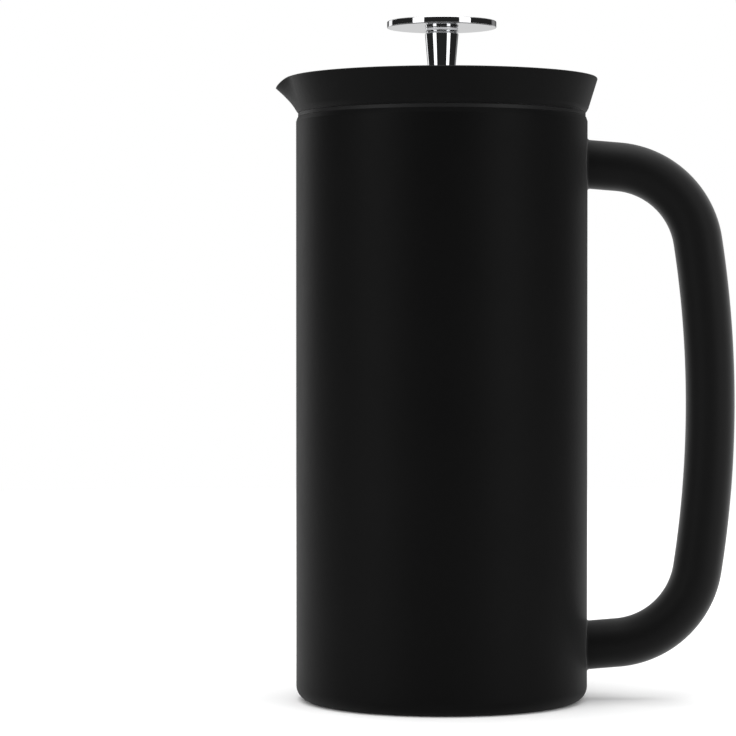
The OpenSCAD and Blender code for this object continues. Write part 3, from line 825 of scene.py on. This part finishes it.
def rounded_box(bm, low, high, edge, turn_deg):
    """An upright box with rounded vertical and horizontal edges, turned about the axis."""
    (x0, y0, z0), (x1, y1, z1) = low, high
    verts = bmesh.ops.create_cube(bm, size=1.0)["verts"]
    for v in verts:
        v.co = Vector((x0 if v.co.x < 0 else x1, y0 if v.co.y < 0 else y1, z0 if v.co.z < 0 else z1))
    edges = list({e for v in verts for e in v.link_edges})
    result = bmesh.ops.bevel(bm, geom=edges, offset=edge, segments=3, profile=0.5, affect="EDGES")
    moved = list({v for f in result["faces"] for v in f.verts} | {v for v in verts if v.is_valid})
    bmesh.ops.rotate(bm, verts=moved, cent=(0, 0, 0), matrix=turn_z(turn_deg))


def boxes(name, turns, edge, corners):
    """Rounded boxes between pairs of corners, repeated at each turn about the axis."""
    bm = bmesh.new()
    for turn in turns:
        for low, high in corners:
            rounded_box(bm, low, high, edge, turn)
    return new_object(name, bm)


def build_lid_insert():
    """Strainer skirt, feet, webs and guide tube as one moulding."""
    inner_top = WALL_R - 1.9
    recess_r = LID_R - 3.7
    top = INSERT_TOP - LID_Z
    ledge = 4.3
    wall = rounded(lid_profile([
        (WALL_R, 0.2, 0.15), (recess_r, 0.2, 0.15), (recess_r, ledge, 0), (GUIDE_R - 0.2, ledge, 0),
        (GUIDE_R - 0.2, ledge - 2, 0), (inner_top, ledge - 2, 0.6), (inner_top, GROOVE_TOP + 1, 0),
        (SKIRT_TOP_R - SKIRT_WALL, GROOVE_LOW - 1.2, 0), (SKIRT_LOW_R - SKIRT_WALL, -SKIRT_DEPTH, 0.3),
        (SKIRT_LOW_R, -SKIRT_DEPTH, 0.35), (SKIRT_TOP_R, GROOVE_LOW - 1.2, 0.5),
        (WALL_R - 0.4, GROOVE_LOW - 0.6, 0.2), (WALL_R - 0.4, GROOVE_LOW, 0.1),
        (WALL_R - 1.2, GROOVE_LOW, 0), (WALL_R - 1.2, GROOVE_TOP, 0), (WALL_R, GROOVE_TOP, 0.15)]), n=4)
    obj = lathe("lid_insert.look", dense(wall, 6), 240)
    guide_low = 2 - SKIRT_DEPTH
    guide = lathe("guide", rounded(lid_profile([
        (GUIDE_BORE_R, guide_low, 0.2), (GUIDE_R, guide_low, 0.3), (GUIDE_R, top, 0.2),
        (GUIDE_BORE_R, top, 0.2)])), 96)
    foot_at = [side + a for side in (0, 180) for a in (-49, 49)]
    window_at = [side + a for side in (0, 180) for a in (-39, 39)]
    skirt_z = LID_Z - SKIRT_DEPTH
    webs = boxes("webs", (45, 135, 225, 315), 0.2, [
        ((GUIDE_R - 0.3, -0.8, LID_Z - 3), (inner_top + 0.5, 0.8, LID_Z + ledge - 1))])
    foot_ribs = boxes("foot_ribs", foot_at, 0.12, [
        ((SKIRT_LOW_R - 3.2, -0.45, skirt_z - 4.6), (SKIRT_LOW_R - 1.0, 0.45, skirt_z + 0.5))])
    windows = boxes("windows", window_at, 0.25, [
        ((SKIRT_LOW_R - 0.4, -1.3, skirt_z + 2.6), (SKIRT_LOW_R + 4, 1.3, skirt_z + 5.0))])
    hooks = boxes("snap_hooks", window_at, 0.15, [
        ((SKIRT_LOW_R - 0.9, s - 0.42, skirt_z + 3.0), (SKIRT_LOW_R + 0.1, s + 0.42, skirt_z + 4.6))
        for s in (-0.62, 0.62)])
    combine(obj, [guide, webs, *map(foot_piece, foot_at), foot_ribs])
    combine(obj, [slot_cutters(), windows], "DIFFERENCE")
    combine(obj, [hooks])
    finish_union(obj)
    add_piece(obj, "lid", "filter_black", SATIN, "lid_insert")


# ---- plunger

KNOB_R, SEAM_Z, KNOB_TOP = span("knob_disc")
ROD_R = span("plunger_rod")[0]


def build_knob():
    """The flat knob with its short neck, and the cone under it."""
    thick = 2.3
    under = KNOB_TOP - thick
    edge = 0.32
    profile = rounded([
        (0, SEAM_Z + 0.02, 0), (5.45, SEAM_Z + 0.02, 0.1), (6.0, SEAM_Z + 0.5, 0.2), (5.8, under, 0.2),
        (KNOB_R, under, edge), (KNOB_R, KNOB_TOP, edge), (KNOB_R - 3, KNOB_TOP, 0), (0, KNOB_TOP, 0)],
        closed=False, n=6)
    obj = lathe("knob_disc.look", dense(profile, 3, closed=False), 224)
    add_piece(obj, "plunger", "chrome", CHROME, "knob_disc")
    _, low, high = span("knob_ferrule")
    ferrule = rounded([
        (ROD_R + 0.02, low, 0.1), (4.75, low, 0.25), (4.95, low + 0.5, 0.3), (6.0, high - 0.5, 0.25),
        (5.45, high, 0.1), (ROD_R + 0.02, high, 0.1)], n=6)
    obj = lathe("knob_ferrule.look", dense(ferrule, 3), 128)
    add_piece(obj, "plunger", "chrome", CHROME, "knob_ferrule")


def thread(z0, z1, r_core, r_crest, pitch):
    """Zigzag outline of a thread's ridges, near enough round for so fine a pitch."""
    out = []
    turns = int((z1 - z0) / pitch)
    for i in range(turns):
        out += [(r_core, z0 + i * pitch), (r_crest, z0 + (i + 0.5) * pitch)]
    return out + [(r_core, z1)]


def build_rod():
    """The rod with its threaded lower end, its stop collar and the washer."""
    _, low, high = span("plunger_rod")
    core, crest, pitch = 1.72, 1.99, 0.7
    shoulder = span("rod_collar")[2]
    stud_top = SEAM_Z - 0.01
    profile = [(0, low), (1.4, low)] + thread(low + 0.4, low + 8.0, core, crest, pitch)
    profile += [(crest, low + 8.3), (crest, shoulder), (ROD_R - 0.3, shoulder), (ROD_R, shoulder + 0.3),
                (ROD_R, stud_top - 0.2), (ROD_R - 0.2, stud_top), (crest, stud_top), (crest - 0.5, high),
                (0, high)]
    obj = lathe("plunger_rod.look", dense(profile, 30, closed=False), 72)
    add_piece(obj, "plunger", "chrome", CHROME, "plunger_rod")
    for node, edges in (("rod_collar", (0, 0.15, 0.3, 0.1)), ("hub_washer", (0.05, 0.12, 0.12, 0.05))):
        r, low, high = span(node)
        corners = ((2.05, low), (r, low), (r, high), (2.05, high))
        ring = rounded([(*corner, edge) for corner, edge in zip(corners, edges)])
        add_piece(lathe(node + ".look", ring, 72), "plunger", "chrome", CHROME, node)


def build_nut():
    """Hexagon nut with turned chamfers."""
    low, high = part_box("rod_nut")
    z0, z1 = low.z / MM, high.z / MM
    r = high.x / MM
    flat = r * cos(pi / 6)
    bore = 2.04
    obj = lathe("rod_nut.look", [(bore, z0), (r, z0), (r, z1), (bore, z1)], 6)
    cone = lathe("cone", [(0, z0 - 1), (flat - 0.75, z0 - 0.4), (flat + 0.62, z0 + 0.75),
                          (flat + 0.62, z1 - 0.75), (flat - 0.75, z1 + 0.4), (0, z1 + 1)], 96)
    combine(obj, [cone], "INTERSECT")
    finish_union(obj, 20)
    add_piece(obj, "plunger", "chrome", CHROME, "rod_nut")


# ---- filters

LUG_DEG = 23.5 - 90


class Basket:
    """The measures that the two filter baskets share."""

    def __init__(self, name, top_r, low_r, rib_t, rib_w, head, first_rib, floor_t):
        _, self.low, self.high = span(name + "_filter_frame")
        self.ribs_top = self.high - head
        self.mesh_node = name + "_side_mesh"
        self.top_r = top_r
        self.low_r = low_r
        self.rib_t = rib_t
        self.rib_w = rib_w
        self.first_rib = first_rib
        self.floor_t = floor_t
        self.ribs = 10
        self.lean = (top_r - low_r) / (self.ribs_top - self.low - 2)

    def outside(self, z):
        """Radius of the ribs' outer faces at a height."""
        return self.low_r + self.lean * (z - self.low - 2)


INNER = Basket("inner", 37.15, 35.5, 1.8, 4.5, 14.6, LUG_DEG, 1.6)
OUTER = Basket("outer", 41.0, 39.0, 2.4, 3.0, 10.1, -90.0, 1.4)


def basket_ribs(b):
    """Upright ribs with rounded edges, which run down over the bottom ring."""
    edge = 0.35
    half = b.rib_w / 2
    outline = rounded([(-b.rib_t, -half, edge), (0, -half, edge), (0, half, edge), (-b.rib_t, half, edge)],
                      n=3)
    # Height, how far the rib tucks in there, and how much of its depth is left.
    levels = [(b.ribs_top + 0.6, 0, 1), (b.low + 5, 0, 1), (b.low + 1.7, 0.02, 0.8),
              (b.low + 1.05, 0.22, 0.8), (b.low + 0.6, 0.6, 0.8), (b.low + 0.42, 1.0, 0.8)]
    bm = bmesh.new()
    for i in range(b.ribs):
        turn = turn_z(b.first_rib + i * 360 / b.ribs)
        loops = []
        for h, tuck, depth in levels:
            r = b.outside(min(h, b.ribs_top)) - tuck
            loops.append([bm.verts.new(turn @ Vector((r + x * depth, y, h))) for x, y in outline])
        skin(bm, loops, wrap=False, caps=True)
    return new_object("ribs", bm)


def basket_bottom(b):
    """Bottom ring, a little inside the ribs, with a rounded lower edge."""
    back = 0.35
    ring_h = 5.2
    inside = b.rib_t + 0.1
    z = b.low
    top_r = b.outside(z + ring_h)
    return lathe("bottom", rounded([
        (b.low_r - inside - 0.8, z, 0.2), (b.low_r - back, z, 1.5), (top_r - back, z + ring_h, 0.35),
        (top_r - inside, z + ring_h, 0.3), (b.outside(z + b.floor_t) - inside, z + b.floor_t, 0),
        (b.low_r - inside - 0.8, z + b.floor_t, 0.2)], n=6), 240)


def spokes(b, start, width):
    """Five flat spokes from the hub to the bottom ring."""
    return boxes("spokes", [b.first_rib + i * 72 for i in range(5)], 0.3, [
        ((start, -width / 2, b.low + 0.02), (b.low_r - b.rib_t - 0.4, width / 2, b.low + b.floor_t - 0.02))])


def build_inner_frame():
    """Inner basket: two flanges for the seal, collar with lugs, ribs, floor and hub."""
    b = INNER
    top = b.high
    flange_r = 42.7
    core_r = 39.5
    flange_t = 1.6
    gap = 3.8
    collar_r = 38.45
    collar_low = top - 13.6
    mouth = b.top_r - b.rib_t - 0.4
    e = 0.28
    groove_low = top - flange_t - gap
    obj = lathe("inner_filter_frame.look", dense(rounded([
        (mouth, collar_low - 1.2, 0.3), (b.top_r + 0.1, collar_low - 1.2, 0.3), (collar_r, collar_low, 0.5),
        (collar_r, groove_low - flange_t, 0.3), (flange_r, groove_low - flange_t, e),
        (flange_r, groove_low, e), (core_r, groove_low, 0.2), (core_r, top - flange_t, 0.2),
        (flange_r, top - flange_t, e), (flange_r, top, 0.5), (mouth, top, 0.6)], n=4), 8), 240)
    step = b.low + b.floor_t + 0.3
    hub = lathe("hub", rounded([
        (4.7, b.low, 0.2), (8.5, b.low, 0.4), (8.5, step, 0.3), (7.9, step, 0.6), (4.6, b.low + 12, 0.4),
        (2.05, b.low + 12, 0.2), (2.05, b.low + 3.2, 0), (4.7, b.low + 3.2, 0)], n=4), 96)
    lug_z = OUTER.high - 3.9
    # A lug's outline is two round pins side by side; k narrows its outer edge.
    outline = arc((-1.35, 0), 1.3, 35, 325, 14) + arc((1.35, 0), 1.3, -145, 145, 14)
    bm = bmesh.new()
    for side in (0, 180):
        turn = turn_z(side + LUG_DEG)
        loops = []
        for out, k in ((-0.5, 1.0), (2.0, 1.0), (2.17, 0.94), (2.25, 0.84)):
            loops.append([bm.verts.new(turn @ Vector((collar_r + out, p * k, lug_z + q * k)))
                          for p, q in outline])
        skin(bm, loops, wrap=False, caps=True)
    lugs = new_object("lugs", bm)
    combine(obj, [basket_ribs(b), basket_bottom(b), spokes(b, 6.5, 3.6), hub, lugs])
    finish_union(obj)
    add_piece(obj, "plunger", "filter_black", SATIN, "inner_filter_frame")


def sector_bar(name, r_in, r_out, z0, z1, start, end):
    """A curved bar between two angles, with a rounded section."""
    edge = 0.2
    n = 24
    bm = bmesh.new()
    section = rounded([(r_in, z0, edge), (r_out, z0, 0), (r_out, z1, 0), (r_in, z1, edge)], n=3)
    loops = []
    for i in range(n + 1):
        a = radians(start + (end - start) * i / n)
        loops.append([polar(bm, r, a, z) for r, z in section])
    skin(bm, loops, wrap=False, caps=True)
    return new_object(name, bm)


def build_outer_frame():
    """Outer basket: collar with bayonet ledges, lip, ribs, floor and hub."""
    b = OUTER
    top = b.high
    collar_r = 42.9
    wall = 1.6
    collar_h = 7.0
    lip_r = 45.0
    lip_t = 1.6
    lip_z = top - collar_h
    band_low = lip_z - lip_t - 1.6
    mouth = b.top_r - b.rib_t - 0.4
    obj = lathe("outer_filter_frame.look", dense(rounded([
        (collar_r - wall, top, 0.35), (collar_r, top, 0.35), (collar_r, lip_z, 0.4), (lip_r, lip_z, 0.6),
        (lip_r, lip_z - lip_t, 0.6), (b.top_r + 0.9, lip_z - lip_t, 0.4), (b.top_r + 0.2, band_low, 0.35),
        (mouth, band_low, 0.3), (mouth, lip_z - lip_t, 0.4), (collar_r - wall, lip_z, 0.4)], n=5), 8), 240)
    floor_top = b.low + b.floor_t
    hub = rounded([(3, b.low, 0.3), (7, b.low, 0.3), (7, floor_top, 0.3), (3, floor_top, 0.3)])
    parts = [basket_ribs(b), basket_bottom(b), spokes(b, 5.5, 3.2), lathe("hub", hub, 96)]
    root = collar_r - wall + 0.3
    for lug in (LUG_DEG, 180 + LUG_DEG):
        parts.append(sector_bar("ledge", 38.85, root, top - 2.45, top - 0.8, lug - 26, lug + 7))
        parts.append(sector_bar("stop", 39.05, root, top - collar_h + 0.4, top - 1.2, lug + 5, lug + 6.6))
    combine(obj, parts)
    finish_union(obj)
    add_piece(obj, "outer_filter", "filter_black", SATIN, "outer_filter_frame")


def build_screen(node, body, rows, around, place):
    """A thin closed sheet of filter cloth; place(t, a, depth) gives a point's radius and height."""
    bm = bmesh.new()
    sheets = []
    for depth in (0, 0.12):
        sheet = []
        for t in [j / rows for j in range(rows + 1)]:
            loop = []
            for a in angles(around):
                r, z = place(t, a, depth)
                loop.append(polar(bm, r, a, z))
            sheet.append(loop)
        sheets.append(sheet)
    skin(bm, sheets[0] + sheets[1][::-1])
    add_piece(new_object(node + ".look", bm, 80), body, "filter_mesh", CLOTH, node)


def build_side_mesh(b, body, seed):
    """The basket's screen, which buckles a little between the ribs."""
    low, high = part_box(b.mesh_node)
    z0, z1 = low.z / MM + 0.02, high.z / MM
    swell = 0.95
    set_in = 0.3
    clear = b.rib_t + 0.18
    per_rib = TAU / b.ribs

    def bulge(share, start, length, power):
        """0 at a window's edges and 1 in its middle."""
        return max(0.0, sin(pi * min(1, max(0, (share - start) / length)))) ** power

    def place(t, a, depth):
        z = z0 + (z1 - z0) * t
        s = ((a - radians(b.first_rib)) % per_rib) / per_rib
        free = bulge(s, 0.1, 0.8, 0.6) * bulge(t, 0.12, 0.86, 0.7)
        spot = Vector((36 * cos(a), 36 * sin(a), z)) / 11.0
        buckle = noise.noise(spot + Vector((seed, 0, 0)))
        buckle += 0.45 * noise.noise(spot * 2.3 + Vector((0, seed, 0)))
        return b.outside(z) - clear - depth + free * (swell * buckle - set_in), z

    build_screen(b.mesh_node, body, 36, 480, place)


def build_floor_mesh(node, body, hole_r, seed):
    """The round screen in a basket's floor, which sags a little between the spokes."""
    r_out, low, _ = span(node)

    def place(t, a, depth):
        r = hole_r + (r_out - hole_r) * t
        held = sin(pi * t) ** 0.7
        spot = Vector((r * cos(a), r * sin(a), seed)) / 9.0
        return r, low + 0.08 + depth + held * 0.10 * (1 + noise.noise(spot))

    build_screen(node, body, 26, 240, place)


def build_filter_seal():
    """Double-lipped silicone ring: a channel section with two thin, slightly drooping lips."""
    lip_r, _, z1 = span("filter_seal")
    core = 39.6
    edge_r = 42.7
    z0 = z1 - 3.6
    profile = rounded([
        (core, z0, 0.2), (edge_r - 0.15, z0, 0.2), (edge_r + 0.05, z0 + 0.30, 0.2),
        (lip_r - 0.1, z0 + 0.25, 0.12), (lip_r, z0 + 0.62, 0.12), (edge_r, z0 + 1.15, 0.5),
        (edge_r - 0.25, (z0 + z1) / 2, 0.6), (edge_r, z1 - 1.15, 0.5), (lip_r, z1 - 0.30, 0.12),
        (lip_r - 0.1, z1 - 0.02, 0.1), (edge_r + 0.05, z1 - 0.42, 0.2), (edge_r - 0.15, z1, 0.2),
        (core, z1, 0.2)], n=5)
    obj = lathe("filter_seal.look", profile, 256, 50)
    add_piece(obj, "plunger_ring", "clear_silicone", CLEAR_SILICONE, "filter_seal")


# ---- studio

def build_world():
    """White to the eye and to matt surfaces; gloss sees a dark room with a lit backdrop and ceiling."""
    world = bpy.data.worlds.new("studio")
    bpy.context.scene.world = world
    world.use_nodes = True
    world.cycles.sampling_method = "NONE"
    w = Graph(world.node_tree)
    _, behind, up = w.axes(w.add("ShaderNodeTexCoord").outputs["Generated"])
    below = w.spread(up, 0.68, 0.13, -0.09, -0.06, "SMOOTHSTEP")
    backdrop = w.spread(behind, 0.02, below, 0.70, 0.95, "SMOOTHSTEP")
    room = w.spread(up, backdrop, 0.38, 0.40, 0.85, "SMOOTHSTEP")
    ray = w.add("ShaderNodeLightPath").outputs
    lit = w.choose(ray["Is Glossy Ray"], 0.95, room)
    background = world.node_tree.nodes["Background"]
    w.put(background, 0, (1, 1, 1, 1))
    w.put(background, 1, w.choose(ray["Is Camera Ray"], lit, 1.0))


def build_studio():
    """Pale round floor, turned grey for glossy rays as painted shade in its reflections, and five soft
    lights.
    """
    floor_mesh = bpy.data.meshes.new("studio_floor")
    bm = bmesh.new()
    bmesh.ops.create_circle(bm, cap_ends=True, segments=96, radius=1.3)
    bm.to_mesh(floor_mesh)
    bm.free()
    floor = linked("studio_floor", floor_mesh)
    m = Nodes("pale_floor")
    # Glossy rays see the floor grey instead of pale: painted shade in the floor's reflections on the press.
    in_gloss = m.add("ShaderNodeLightPath").outputs["Is Glossy Ray"]
    m.set(Base_Color=m.blend(in_gloss, (0.95,) * 3, (0.48,) * 3),
          Roughness=m.spread(m.noise(20, 2), 0.8, 0.9), Specular_IOR_Level=0.1)
    floor_mesh.materials.append(m.material)

    def softbox(name, azimuth, distance, height, size, power):
        """A soft light aimed at the press; azimuth 0 is the camera's side and runs towards +X."""
        aim = Vector((0, 0, 0.13))
        light = bpy.data.lights.new(name, "AREA")
        light.shape = "RECTANGLE"
        light.size, light.size_y = size
        light.energy = power
        obj = linked(name, light)
        a = radians(azimuth)
        obj.location = (distance * sin(a), -distance * cos(a), height)
        obj.rotation_euler = (obj.location - aim).to_track_quat("Z", "Y").to_euler()

    softbox("strip_left", -50, 1.0, 0.36, (0.46, 1.1), 2.6)
    softbox("strip_right", 50, 1.0, 0.36, (0.46, 1.1), 2.6)
    softbox("rim_left", -138, 1.2, 0.40, (0.40, 1.2), 1.7)
    softbox("rim_right", 140, 1.2, 0.40, (0.40, 1.2), 0.3)
    softbox("overhead", 0, 0.001, 1.5, (1.4, 1.4), 13)


def build_camera():
    """A long lens at the vessel's mid height, turned left so that the press stands right of centre."""
    camera = bpy.data.cameras.new("camera")
    camera.sensor_width = 36
    camera.lens = 141.9
    camera.clip_start = 0.02
    camera.clip_end = 40
    obj = linked("camera", camera)
    obj.location = (0, -1.038, 0.1353)
    pitch_down, turn_left = radians(0.93), radians(1.453)
    obj.rotation_euler = (pi / 2 - pitch_down, 0, turn_left)
    bpy.context.scene.camera = obj
    bpy.context.scene.view_settings.view_transform = "Standard"


for build in (build_outer_shell, build_inner_vessel, build_collar, build_handle, build_weld_beads, build_base,
              build_lid_cap, build_lid_rings, build_lid_insert, build_knob, build_rod, build_nut,
              build_inner_frame, build_outer_frame):
    build()
build_side_mesh(INNER, "plunger", 3.0)
build_side_mesh(OUTER, "outer_filter", 7.0)
build_floor_mesh("inner_floor_mesh", "plunger", 8.6, 1.0)
build_floor_mesh("outer_floor_mesh", "outer_filter", 0.4, 5.0)
build_filter_seal()
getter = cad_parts["vacuum_getter"]
getter.data.materials.clear()
getter.data.materials.append(GETTER)
build_world()
build_studio()
build_camera()
